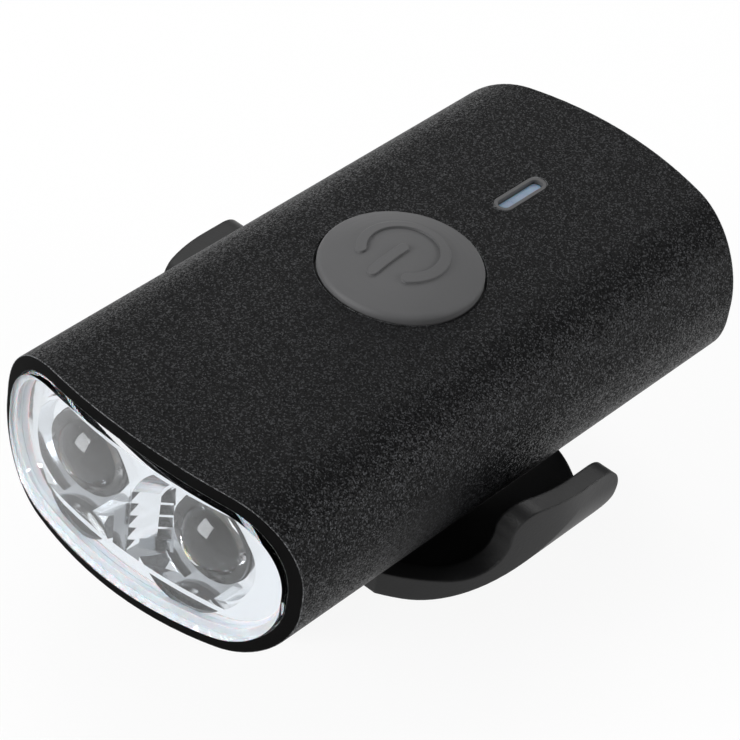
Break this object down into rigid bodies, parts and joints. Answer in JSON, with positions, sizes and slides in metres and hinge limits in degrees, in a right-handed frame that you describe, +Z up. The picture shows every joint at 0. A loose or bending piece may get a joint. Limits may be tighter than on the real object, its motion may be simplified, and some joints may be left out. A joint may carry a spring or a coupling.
{
  "type": "bike headlight",
  "caption": "Handlebar headlight: flat oval metal housing, bowed clear cover over paired collimators, domed rubber power button, hinged charging-port cover and a bar saddle with band hooks.",
  "frame": {"origin": "on the handlebar's axis, under the middle of the saddle", "axes": "+Z up, -Y the way the beam leaves, +X along the handlebar to the right seen from the front"},
  "size_m": [0.053, 0.0756, 0.0393],
  "materials": {
    "anodised_aluminium": "bead-blasted black anodised",
    "bare_aluminium": "plain",
    "clear_plastic": "clear",
    "metallised_plastic": "bright metallised",
    "black_plastic": "fine texture",
    "grey_plastic": "plain",
    "silicone": "matt dark grey",
    "black_rubber": "matt black",
    "light_pipe": "milky",
    "steel": "plain",
    "white_board": "white mask",
    "black_board": "black mask",
    "clear_silicone": "translucent white",
    "green_board": "green mask",
    "phosphor": "clear resin over phosphor",
    "cell_wrap": "blue film"
  },
  "bodies": {
    "light": {"housing": "anodised_aluminium", "front_lens": "clear_plastic", "lens_seal": "clear_silicone", "reflector": "metallised_plastic", "twin_optic": "clear_plastic", "optic_carrier": "black_plastic", "led_board": "black_board", "leds": "phosphor", "led_board_screws": "steel", "heat_sink": "bare_aluminium", "tray": "grey_plastic", "battery": "cell_wrap", "battery_pad": "black_rubber", "nut_plate": "steel", "main_board": "green_board", "board_parts": "grey_plastic", "switch_body": "grey_plastic", "status_led": "white_board", "indicator_window": "light_pipe", "indicator_collar": "silicone", "button_seal": "black_rubber", "usb_socket": "steel", "usb_tongue": "grey_plastic", "rear_cap": "black_plastic", "rear_seal": "black_rubber", "rear_screws": "steel", "mount_base": "black_plastic", "base_screws": "steel", "bar_pad": "black_rubber"},
    "button": {"power_button": "silicone"},
    "plunger": {"switch_plunger": "grey_plastic"},
    "cover": {"port_cover": "black_rubber"}
  },
  "joints": [
    {"name": "button_press", "type": "slide", "parent": "light", "child": "button", "axis": [0, 0, -1], "range_m": [0, 0.0005], "stiffness_N_per_m": 3000},
    {"name": "plunger_press", "type": "slide", "parent": "light", "child": "plunger", "axis": [0, 0, -1], "range_m": [0, 0.0005]},
    {"name": "cover_hinge", "type": "hinge", "parent": "light", "child": "cover", "pos_m": [0, 0.03566, 0.03191], "axis": [-1, 0, 0], "range_deg": [0, 90]}
  ],
  "couplings": [
    {"joint": "plunger_press", "follows": "button_press", "ratio": 1}
  ]
}
